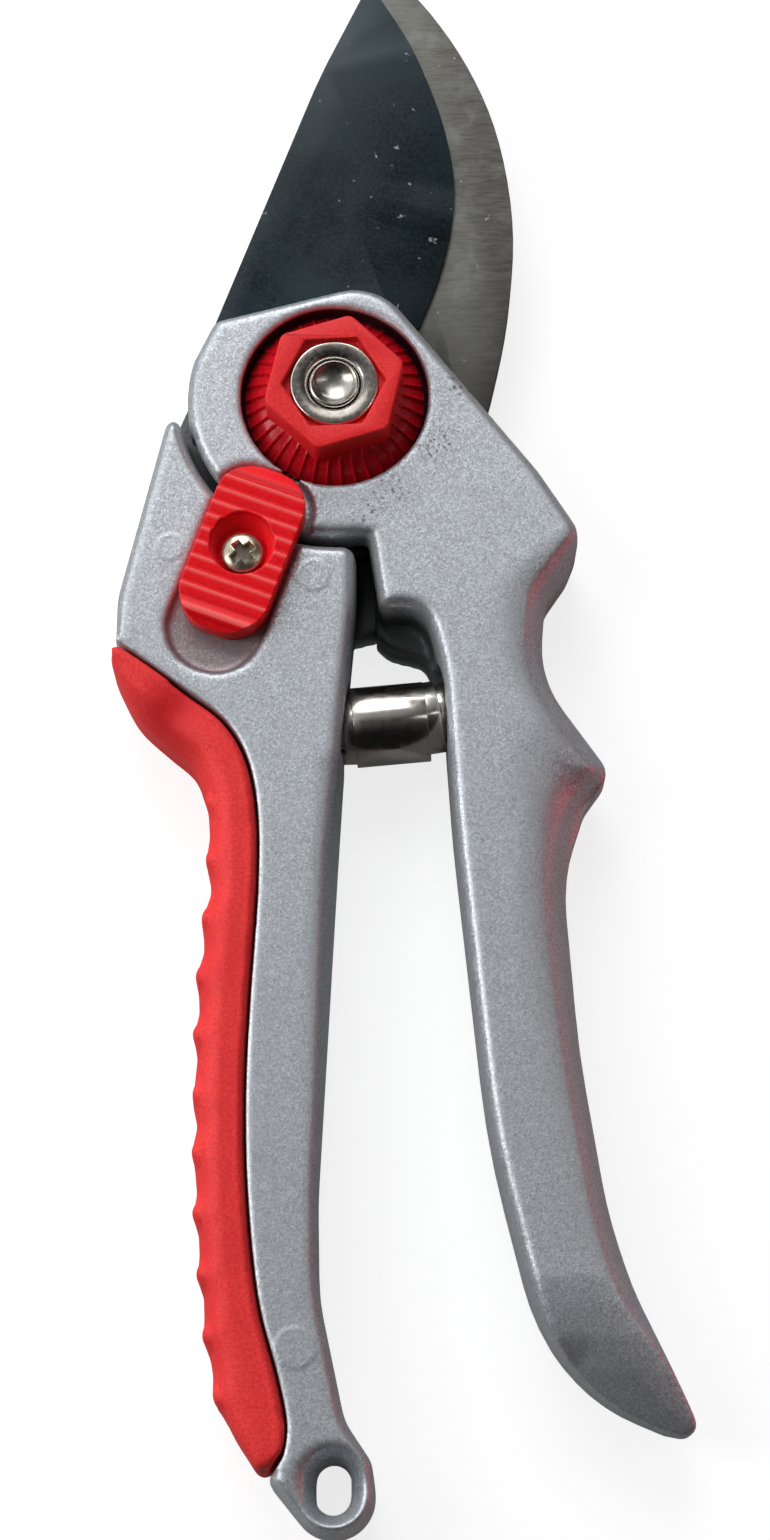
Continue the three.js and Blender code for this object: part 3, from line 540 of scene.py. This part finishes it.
grip_side = side_finder(grip_skin, lambda x, y: -133 < y < -51 and x < -12.5)
nub_count, nub_pitch, lowest_nub = 11, 7.5, -129.15
nub_inset, nub_reach, nub_lift = 1.4, 2.2, 1.15
nub_heights = (13.0, 3.6)
for number in range(nub_count):
    level = lowest_nub + nub_pitch * number
    edge_x = grip_side.find(Vector((-17, level, 0)) * mm)[0].x / mm
    for vertex in grip_skin.data.vertices:
        for height in nub_heights:
            out = vertex.co - Vector((edge_x + nub_inset, level, height)) * mm
            near = 1 - (out.length / (nub_reach * mm)) ** 2
            if near > 0:
                lift = Vector((-0.55, 0.2, math.copysign(0.8, height * mm - half_depth)))
                vertex.co += lift * (nub_lift * mm * near ** 2)

dent_x, dent_y, dent_reach, dent_depth = -20.2, -43.0, 3.0, 0.8
for vertex in grip_skin.data.vertices:
    away = math.hypot(vertex.co.x / mm - dent_x, vertex.co.y / mm - dent_y) / dent_reach
    drop = dent_depth * mm / half_depth * math.exp(-away ** 2)
    vertex.co.z = half_depth + (vertex.co.z - half_depth) * (1 - drop)

wires = Finish("grip_rubber")
fine = wires.noise(2600, 3, 0.6)
broad = wires.noise(110, 2)
red = wires.blend(wires.spread(fine, 0.3, 0.7), (0.74, 0.020, 0.022, 1), (0.94, 0.050, 0.046, 1))
red = wires.blend(wires.spread(broad, 0.4, 0.7, 0, 0.4), red, (0.72, 0.016, 0.020, 1))
# painted shade: the upper wing of the grip, round its hollow, is a darker red
wing_shade = wires.spread(wires.away_from(-21.0, -42.6, 15), 0.5 * mm, 7 * mm, 0.65, 0)
red = wires.blend(wing_shade, red, (0.56, 0.003, 0.010, 1))
grip_rubber = wires.shade(red, wires.spread(fine, 0.2, 0.8, 0.50, 0.66),
                          wires.bump(fine, 0.35, 0.03), specular=0.28)
finished(grip_skin, "left_handle", "grip_rubber", grip_rubber, "handle_grip")

# ---------------------------------------------------------------------------------------------
# Cutting blade: hardened steel plate under a dark non-stick coating, ground along its edge.
# The coating is scuffed and spotted with dried sap, and its edges are bare steel.


def bevelled(name, shape, width, smooth_angle=math.radians(30), segments=2):
    """A plate or turned piece with its sharp edges broken"""
    bmesh.ops.dissolve_limit(shape, angle_limit=math.radians(0.6), verts=shape.verts,
                             edges=shape.edges)
    piece = made(name, shape)
    edge = piece.modifiers.new("edge", "BEVEL")
    edge.width = width
    edge.segments = segments
    edge.limit_method = "ANGLE"
    edge.angle_limit = math.radians(28)
    edge.use_clamp_overlap = True
    settle(piece)
    shade(piece, smooth_angle)
    return piece


blade = bevelled("blade_plate", merged("cutting_blade"), 0.12 * mm)
wires = Finish("blade_coating")
grain = wires.noise(2300, 3, 0.7)
patch = wires.noise(95, 3)
spot = wires.noise(620, 2, 0.6)
# painted reflection: the coating grows lighter and bluer towards the tip
tip_reflection = wires.spread(wires.coordinate("Y"), 34 * mm, 66 * mm, 0, 0.85)
tone = wires.blend(wires.spread(grain, 0.3, 0.7),
                   (0.001, 0.005, 0.0065, 1), (0.012, 0.026, 0.032, 1))
tone = wires.blend(tip_reflection, tone, (0.066, 0.092, 0.106, 1))
tone = wires.blend(wires.spread(patch, 0.42, 0.70, 0, 0.45), tone, (0.022, 0.042, 0.054, 1))
tone = wires.blend(wires.spread(spot, 0.70, 0.75, 0, 0.85), tone, (0.35, 0.40, 0.45, 1))
coating = wires.shade(tone, wires.spread(grain, 0.2, 0.8, 0.34, 0.5),
                      wires.bump(grain, 0.3, 0.02), specular=0.2)
finished(blade, "right_handle", "blade_coating", coating, "cutting_blade")

# ---------------------------------------------------------------------------------------------
# Hook: the counter-blade, a bare steel plate riveted to the rear head. Grinding left streaks
# across it, and it is dull and spotted from sap.

hook = bevelled("hook_plate", merged("hook_blade"), 0.15 * mm)
wires = Finish("hook_steel")
stretch = wires.add("ShaderNodeMapping")
wires.link(wires.place, stretch.inputs["Vector"])
stretch.inputs["Rotation"].default_value = (0, 0, math.radians(-38))
stretch.inputs["Scale"].default_value = (1, 7, 1)
streak = wires.noise(420, 4, 0.65, stretch.outputs[0])
blotch = wires.noise(260, 4, 0.6)
spots = wires.noise(900, 2)
by_head = wires.spread(wires.coordinate("Y"), 0, 34 * mm, 0.7, 0)
tone = wires.blend(wires.spread(streak, 0.3, 0.7), (0.10, 0.098, 0.085, 1), (0.17, 0.167, 0.148, 1))
tone = wires.blend(wires.spread(blotch, 0.45, 0.75, 0, 0.55), tone, (0.25, 0.255, 0.24, 1))
tone = wires.blend(wires.spread(spots, 0.70, 0.76, 0, 0.6), tone, (0.50, 0.53, 0.55, 1))
tone = wires.blend(by_head, tone, (0.055, 0.052, 0.046, 1))
hook_steel = wires.shade(tone, wires.spread(streak, 0.2, 0.8, 0.42, 0.6),
                         wires.bump(streak, 0.3, 0.02), metallic=0.7)
finished(hook, "left_handle", "hook_steel", hook_steel, "hook_blade")

# ---------------------------------------------------------------------------------------------
# Rivets, pins, bush, washer and tongue: plain steel and brass pieces that show from the back
# or only when the shears are taken apart.


def plain_metal(name, colour, low, high):
    """Metal with fine tool marks and a little tarnish, its roughness from low to high"""
    wires = Finish(name)
    marks = wires.noise(900, 4, 0.6)
    tarnish = wires.noise(160, 3)
    dark = [value * 0.72 for value in colour] + [1]
    tone = wires.blend(wires.spread(tarnish, 0.35, 0.7), [*colour, 1], dark)
    return wires.shade(tone, wires.spread(marks, 0.25, 0.75, low, high),
                       wires.bump(marks, 0.15, 0.01), metallic=1.0)


bolt_steel = plain_metal("bolt_steel", (0.52, 0.49, 0.44), 0.20, 0.32)
dark_steel = plain_metal("dark_steel", (0.36, 0.35, 0.33), 0.28, 0.45)
bright_steel = plain_metal("bright_steel", (0.66, 0.63, 0.58), 0.10, 0.22)
brass = plain_metal("bearing_brass", (0.70, 0.52, 0.24), 0.25, 0.4)
spring_steel = plain_metal("spring_steel", (0.56, 0.52, 0.47), 0.12, 0.24)
for node, body, slot, metal in (
    ("hook_rivet_1", "left_handle", "dark_steel", dark_steel),
    ("hook_rivet_2", "left_handle", "dark_steel", dark_steel),
    ("blade_pin_1", "right_handle", "dark_steel", dark_steel),
    ("blade_pin_2", "right_handle", "dark_steel", dark_steel),
    ("pivot_washer", "adjuster", "dark_steel", dark_steel),
    ("latch_plate", "latch", "dark_steel", dark_steel),
    ("pivot_bush", "left_handle", "bearing_brass", brass),
):
    finished(bevelled(node + "_turned", merged(node), 0.15 * mm), body, slot, metal, node)
for node, metal in (("latch_detent_ball", bright_steel), ("latch_detent_spring", spring_steel)):
    nodes[node].data.materials.clear()
    nodes[node].data.materials.append(metal)

# ---------------------------------------------------------------------------------------------
# Pivot bolt: flat-headed steel bolt from the back, its end turned with a bright rim and pressed
# in with a round dimple.


def spun(name, profile, steps=96):
    """A turned piece on the pivot's axis, from a profile of (radius, height)"""
    shape = bmesh.new()
    corners = [shape.verts.new((radius * mm, 0, height * mm)) for radius, height in profile]
    for first, second in zip(corners, corners[1:]):
        shape.edges.new((first, second))
    bmesh.ops.spin(shape, geom=shape.verts[:] + shape.edges[:], angle=2 * math.pi, steps=steps,
                   axis=(0, 0, 1), cent=(0, 0, 0), use_merge=True)
    bmesh.ops.remove_doubles(shape, verts=shape.verts, dist=0.002 * mm)
    bmesh.ops.recalc_face_normals(shape, faces=shape.faces)
    return shape


def arc_points(x, y, radius, start, end, count):
    """Points of an arc in the profile's plane, angles in degrees"""
    angles = [math.radians(start + (end - start) * i / count) for i in range(count + 1)]
    return [(x + radius * math.cos(a), y + radius * math.sin(a)) for a in angles]


bolt_end = spun("bolt", [
    (0, 13.0), (3.3, 13.0), (3.3, 20.6), (3.25, 20.85), (3.12, 21.02), (2.95, 21.08), (2.82, 21.02),
    (2.7, 20.85), (2.5, 20.62), (2.2, 20.40), (1.7, 20.16), (1.1, 20.0), (0.5, 19.92), (0, 19.9),
])
bolt_body = merged("pivot_bolt")
bmesh.ops.bisect_plane(bolt_body, geom=bolt_body.verts[:] + bolt_body.edges[:] + bolt_body.faces[:],
                       plane_co=(0, 0, 13.5 * mm), plane_no=(0, 0, 1), clear_outer=True)
bmesh.ops.holes_fill(bolt_body, edges=[e for e in bolt_body.edges if e.is_boundary])
shank = bevelled("bolt_shank", bolt_body, 0.25 * mm, segments=3)
end = made("bolt_end", bolt_end, math.radians(40))
finished(shank, "left_handle", "bright_steel", bolt_steel, "pivot_bolt")
finished(end, "left_handle", "bright_steel", bolt_steel)

# ---------------------------------------------------------------------------------------------
# Ring nut: dark steel, faced off, with a painted highlight on its outer rim and on the chamfer
# round the bolt.

nut = spun("nut", [
    (3.42, 14.15), (5.6, 14.15), (5.7, 14.25), (5.7, 21.0), (5.67, 21.12), (5.58, 21.2),
    (5.45, 21.22), (3.92, 21.22), (3.84, 21.17), (3.68, 20.95), (3.5, 20.75), (3.42, 20.4),
    (3.42, 14.15),
])
nut_piece = made("nut_ring", nut, math.radians(40))
rim_middle = 4.66
wires = Finish("nut_steel")
brushed = wires.noise(1500, 3, 0.6)
off_middle = wires.math("ABSOLUTE", wires.math("SUBTRACT", wires.away_from_axis(), rim_middle * mm))
# painted highlight: the outer rim and the chamfer round the bolt are made bright
rim_highlights = wires.spread(off_middle, 0.76 * mm, 0.90 * mm)
faced = wires.blend(wires.spread(brushed, 0.3, 0.7), (0.17, 0.155, 0.135, 1), (0.24, 0.22, 0.20, 1))
tone = wires.blend(rim_highlights, faced, (0.80, 0.77, 0.71, 1))
nut_steel = wires.shade(tone, wires.spread(brushed, 0.2, 0.8, 0.16, 0.28), metallic=1.0)
finished(nut_piece, "adjuster", "dark_steel", nut_steel, "pivot_nut")

# ---------------------------------------------------------------------------------------------
# Adjuster wheel: glossy red plastic, a coned skirt with narrow ribs down it and a six-sided
# collar with a six-sided pocket for the nut.

rib_count = 38
rib_steps = 12
skirt_profile = [
    (6.2, 13.7), (11.5, 13.7), (11.7, 13.85), (11.7, 14.35), (11.5, 14.65), (10.85, 15.25),
    (10.0, 15.95), (9.2, 16.6), (8.6, 17.05), (8.0, 17.35), (6.2, 17.35),
]
skirt = spun("skirt", skirt_profile, rib_count * rib_steps)
for vertex in skirt.verts:
    radius = math.hypot(vertex.co.x, vertex.co.y) / mm
    if radius < 8.3 or vertex.co.z < 14.2 * mm:
        continue
    turn = math.atan2(vertex.co.y, vertex.co.x) / (2 * math.pi) * rib_count
    wave = abs((turn % 1) - 0.5) * 2
    depth = 0.42 * (1 - smoothstep(wave, 0.66, 0.94)) * smoothstep(radius, 8.3, 8.9)
    vertex.co.x *= 1 - depth / radius * 0.6
    vertex.co.y *= 1 - depth / radius * 0.6
    vertex.co.z -= depth * 0.7 * mm
skirt_piece = made("adjuster_skirt", skirt, math.radians(60))

collar_turn = math.radians(17 - 30)
pocket_turn = math.radians(3 - 30)
corner = 9.45
pocket_corner = 6.72


def prism(sides, radius, top_radius, low, high, turn=0.0):
    """A many-sided prism on the pivot's axis"""
    shape = bmesh.new()
    middle = Matrix.Translation((0, 0, (low + high) / 2 * mm))
    bmesh.ops.create_cone(shape, cap_ends=True, segments=sides, radius1=radius * mm,
                          radius2=top_radius * mm, depth=(high - low) * mm,
                          matrix=middle @ Matrix.Rotation(turn, 4, "Z"))
    return shape


def carved(piece, operation, *tools):
    """Cuts a piece with each tool, or keeps only what lies inside the tool"""
    for tool in tools:
        trim = piece.modifiers.new("trim", "BOOLEAN")
        trim.operation = operation
        trim.object = tool
        trim.solver = "EXACT"
    settle(piece)
    for tool in tools:
        bpy.data.objects.remove(tool)


collar_low, collar_high = 16.2, 21.75
pocket_floor = 20.3
bore_radius = 5.78
collar = prism(6, corner, corner, collar_low, collar_high, collar_turn)
upright = [e for e in collar.edges if abs(e.verts[0].co.z - e.verts[1].co.z) > mm]
bmesh.ops.bevel(collar, geom=upright, offset=0.7 * mm, segments=4, profile=0.5, affect="EDGES",
                material=-1)
collar_piece = made("adjuster_collar", collar)
pocket = prism(6, pocket_corner, pocket_corner + 0.15, pocket_floor, 22.4, pocket_turn)
carved(collar_piece, "DIFFERENCE", made("pocket", pocket))
lip = collar_piece.modifiers.new("lip", "BEVEL")
lip.width = 0.26 * mm
lip.segments = 3
lip.limit_method = "ANGLE"
lip.angle_limit = math.radians(38)
settle(collar_piece)
carved(collar_piece, "DIFFERENCE", made("bore", prism(72, bore_radius, bore_radius, 15, 22.5)))
shade(collar_piece, math.radians(35))


def red_plastic(name, deep, pale, rough, shine=0.25, ridges=None):
    """Moulded red plastic, a little cloudy; where it has ridges, painted shade between them and a
    painted highlight on their crests
    """
    wires = Finish(name)
    frost = wires.noise(2400, 3, 0.6)
    cloud = wires.noise(300, 3)
    tone = wires.blend(wires.spread(frost, 0.3, 0.7), deep, pale)
    tone = wires.blend(wires.spread(cloud, 0.45, 0.75, 0, 0.4), tone, deep)
    if ridges:
        low, crest = ridges
        level = wires.coordinate("Z")
        # painted shade: deep red in the valleys between the ridges
        valley_shade = wires.math("MULTIPLY", wires.spread(level, low * mm, (crest - 0.1) * mm, 1, 0),
                          wires.spread(level, (low - 0.2) * mm, low * mm))
        tone = wires.blend(wires.math("MULTIPLY", valley_shade, 0.6), tone, (0.55, 0.001, 0.006, 1))
        # painted highlight: pale red along the crests of the ridges
        painted_light = wires.spread(level, (crest - 0.16) * mm, (crest - 0.04) * mm, 0, 0.5)
        tone = wires.blend(painted_light, tone, (0.95, 0.22, 0.20, 1))
    return wires.shade(tone, wires.spread(frost, 0.2, 0.8, rough - 0.06, rough + 0.08),
                       wires.bump(frost, 0.25, 0.012), specular=shine)


wheel_red = red_plastic("wheel_red", (0.70, 0.012, 0.016, 1), (0.86, 0.030, 0.030, 1), 0.46)
# painted shade: the skirt, low in the well, is a darker copy of the wheel's red plastic
shaded_skirt_red = red_plastic("shaded_skirt_red", (0.50, 0.004, 0.012, 1), (0.60, 0.008, 0.016, 1), 0.22, 0.45)
finished(skirt_piece, "adjuster", "red_plastic", shaded_skirt_red, "adjuster_wheel")
finished(collar_piece, "adjuster", "red_plastic", wheel_red)

# ---------------------------------------------------------------------------------------------
# Thumb latch: a red moulded slider with ribs across it and a round cup for its screw. Its lower
# end slopes down to the handle.

latch_tilt = math.radians(-20)
latch_place = Vector((-11.8, -21.9, 0)) * mm
latch_turn = Matrix.Translation(latch_place) @ Matrix.Rotation(latch_tilt, 4, "Z")
half_width = 5.95
low_end, high_end = -11.2, 11.6
slider_base, slider_top = 15.6, 19.1
ridge_pitch = 1.93
ridge_height = 0.48
top_ridge = 8.75
low_ridge = top_ridge - 9 * ridge_pitch
dome_top, dome_rise = 19.3, 0.32
end_round = 5.1
cup_floor, cup_lean = 16.6, 0.28


def slider_height(along):
    """Height of the slider's top over its length: ribs, and a dome at the lower end"""
    past = low_ridge - along
    if past > 0:
        dome = dome_rise * math.sin(min(past / 1.3, 1) * math.pi / 2)
        return dome_top + dome - 2.0 * smoothstep(past, 0.9, 3.6)
    share = (top_ridge - along) / ridge_pitch % 1
    ridge = ridge_height * (1 - share) ** 1.1 * (1 - smoothstep(share, 0.84, 0.98))
    if share > 0.83:
        rise = ridge_height if past < -0.5 else 0.2
        ridge = max(ridge, rise * smoothstep(share, 0.83, 1.0))
    if along > top_ridge:
        ridge = ridge_height * (1 - smoothstep(along, top_ridge, top_ridge + 0.3))
    return slider_top + ridge - 0.9 * smoothstep(along, 9.4, 12.0)


slider = bmesh.new()
rows = 150
bmesh.ops.create_grid(slider, x_segments=1, y_segments=rows, size=1)
for vertex in slider.verts:
    along = low_end - 1 + (vertex.co.y + 1) / 2 * (high_end - low_end + 2)
    vertex.co = (vertex.co.x * 9 * mm, along * mm, slider_height(along) * mm)
skin = bmesh.ops.extrude_face_region(slider, geom=slider.faces[:])
for element in skin["geom"]:
    if isinstance(element, bmesh.types.BMVert):
        element.co.z = slider_base * mm
bmesh.ops.recalc_face_normals(slider, faces=slider.faces)
bmesh.ops.transform(slider, matrix=latch_turn, verts=slider.verts)
slider_piece = made("slider_blank", slider)

cutter = bmesh.new()
bmesh.ops.create_cube(cutter, size=1)
bmesh.ops.scale(cutter, verts=cutter.verts,
                vec=(2 * half_width * mm, (high_end - low_end) * mm, 8 * mm))
bmesh.ops.translate(cutter, verts=cutter.verts, vec=(0, (high_end + low_end) / 2 * mm, 18 * mm))
posts = [e for e in cutter.edges if abs(e.verts[0].co.z - e.verts[1].co.z) > mm]
bmesh.ops.bevel(cutter, geom=posts, offset=end_round * mm, segments=10, profile=0.5,
                affect="EDGES", material=-1)
bmesh.ops.transform(cutter, matrix=latch_turn, verts=cutter.verts)
outline_piece = made("slider_outline", cutter)
cup = spun("cup", [
    (0, cup_floor), (2.8, cup_floor), (3.1, 16.8), (4.05, 19.0), (4.35, 19.6), (4.5, 21), (0, 21),
], 64)
for vertex in cup.verts:
    vertex.co.y += max(vertex.co.z - cup_floor * mm, 0) * cup_lean
bmesh.ops.translate(cup, verts=cup.verts, vec=latch_place)
cup_piece = made("slider_cup", cup)
carved(slider_piece, "INTERSECT", outline_piece)
carved(slider_piece, "DIFFERENCE", cup_piece)
skin = slider_piece.modifiers.new("skin", "REMESH")
skin.mode = "VOXEL"
skin.voxel_size = 0.12 * mm
settle(slider_piece)
eased = bmesh.new()
eased.from_mesh(slider_piece.data)
ease(eased, eased.verts, 1)
eased.to_mesh(slider_piece.data)
eased.free()
shade(slider_piece, math.pi)
slider_piece.name = "slider_moulding"
slider_red = red_plastic("slider_red", (0.86, 0.004, 0.010, 1), (0.98, 0.012, 0.020, 1),
                         0.36, 0.2,
                         ridges=(slider_top, slider_top + ridge_height))
finished(slider_piece, "latch", "red_plastic", slider_red, "latch_slider")

# ---------------------------------------------------------------------------------------------
# Latch screw: plated steel pan head with a cross recess, holding slider and tongue together.

cross_span, cross_wing, cross_depth = 4.9, 1.6, 1.9
cross_level = 18.1
screw = spun("screw", [(0, 12.0), (1.5, 12.0), (1.5, 16.65), (2.5, 16.65), (2.7, 16.85)] +
             arc_points(0, 11.9, 6.2, 65, 90, 8), 64)
bmesh.ops.translate(screw, verts=screw.verts, vec=latch_place)
screw_piece = made("screw_blank", screw)
cross = bmesh.new()
bmesh.ops.create_cube(cross, size=1)
bmesh.ops.scale(cross, verts=cross.verts,
                vec=(cross_span * mm, cross_wing * mm, cross_depth * mm))
for vertex in cross.verts:
    if vertex.co.z < 0:
        vertex.co.x *= 0.5
        vertex.co.y *= 0.62
crossing = cross.copy()
bmesh.ops.rotate(crossing, verts=crossing.verts, cent=(0, 0, 0),
                 matrix=Matrix.Rotation(math.pi / 2, 3, "Z"))
wing_pieces = []
for number, wing in enumerate((cross, crossing)):
    bmesh.ops.rotate(wing, verts=wing.verts, cent=(0, 0, 0),
                     matrix=Matrix.Rotation(math.radians(45 - 8), 3, "Z"))
    bmesh.ops.translate(wing, verts=wing.verts, vec=latch_place + Vector((0, 0, cross_level * mm)))
    wing_pieces.append(made("wing_%d" % number, wing))
carved(screw_piece, "DIFFERENCE", *wing_pieces)
edge = screw_piece.modifiers.new("edge", "BEVEL")
edge.width = 0.09 * mm
edge.segments = 2
edge.limit_method = "ANGLE"
edge.angle_limit = math.radians(35)
settle(screw_piece)
shade(screw_piece, math.radians(35))
screw_piece.name = "screw_head"
wires = Finish("screw_steel")
wear = wires.noise(1400, 3, 0.6)
level = wires.coordinate("Z")
plated = wires.blend(wires.spread(wear, 0.3, 0.7), (0.42, 0.38, 0.28, 1), (0.50, 0.46, 0.35, 1))
# The head is dark brown and hardly metallic below its crown: round its foot in the cup and deep in
# the cross.
below_crown = wires.spread(level, 17.2 * mm, 17.75 * mm, 0.85, 0)
tone = wires.blend(below_crown, plated, (0.10, 0.065, 0.045, 1))
screw_steel = wires.shade(tone, wires.spread(wear, 0.2, 0.8, 0.24, 0.30),
                          metallic=wires.spread(level, 17.2 * mm, 17.75 * mm, 0.1, 1))
finished(screw_piece, "latch", "bright_steel", screw_steel, "latch_screw")

# ---------------------------------------------------------------------------------------------
# Volute spring: one polished strip of steel wound so that its turns lie inside each other. Each
# turn slides out of the next when the handles open.

spring_distance = 43.0
strip_thickness = 0.45
strip_lean = -4.5
spin_steps = 96
for number, (radius, angle, width, lead, start, sweep) in enumerate((
    (4.05, 2.6, 6.4, 1.2, 40, 372), (4.75, 6.2, 8.0, 1.6, 60, 372), (5.2, 9.8, 9.6, 0.6, 250, 372),
    (4.7, 13.4, 7.6, 1.2, 200, 372), (3.9, 17.0, 6.8, 1.0, 20, 372),
), 1):
    strip = bmesh.new()
    inner = radius - strip_thickness
    corners = [strip.verts.new((x * mm, 0, z * mm)) for x, z in (
        (-width / 2, inner), (-width / 2, radius), (width / 2, radius), (width / 2, inner))]
    outline = [strip.edges.new((corners[i], corners[(i + 1) % 4])) for i in range(4)]
    bmesh.ops.spin(strip, geom=corners + outline, angle=math.radians(sweep), steps=spin_steps,
                   axis=(1, 0, 0), cent=(0, 0, 0), dvec=(lead * mm / spin_steps, 0, 0))
    bmesh.ops.holes_fill(strip, edges=[e for e in strip.edges if e.is_boundary])
    bmesh.ops.recalc_face_normals(strip, faces=strip.faces)
    bmesh.ops.rotate(strip, verts=strip.verts, cent=(0, 0, 0),
                     matrix=Matrix.Rotation(math.radians(start), 3, "X"))
    bmesh.ops.translate(strip, verts=strip.verts,
                        vec=(-lead / 2 * mm, -spring_distance * mm, half_depth))
    for centre, turn in (((0, -spring_distance * mm, 0), strip_lean), ((0, 0, 0), angle)):
        bmesh.ops.rotate(strip, verts=strip.verts, cent=centre,
                         matrix=Matrix.Rotation(math.radians(turn), 3, "Z"))
    turn_piece = bevelled("spring_strip_%d" % number, strip, 0.08 * mm, math.radians(40))
    body = {1: "left_handle", 5: "right_handle"}.get(number, "spring_turn_%d" % number)
    finished(turn_piece, body, "spring_steel", spring_steel, "spring_turn_%d" % number)
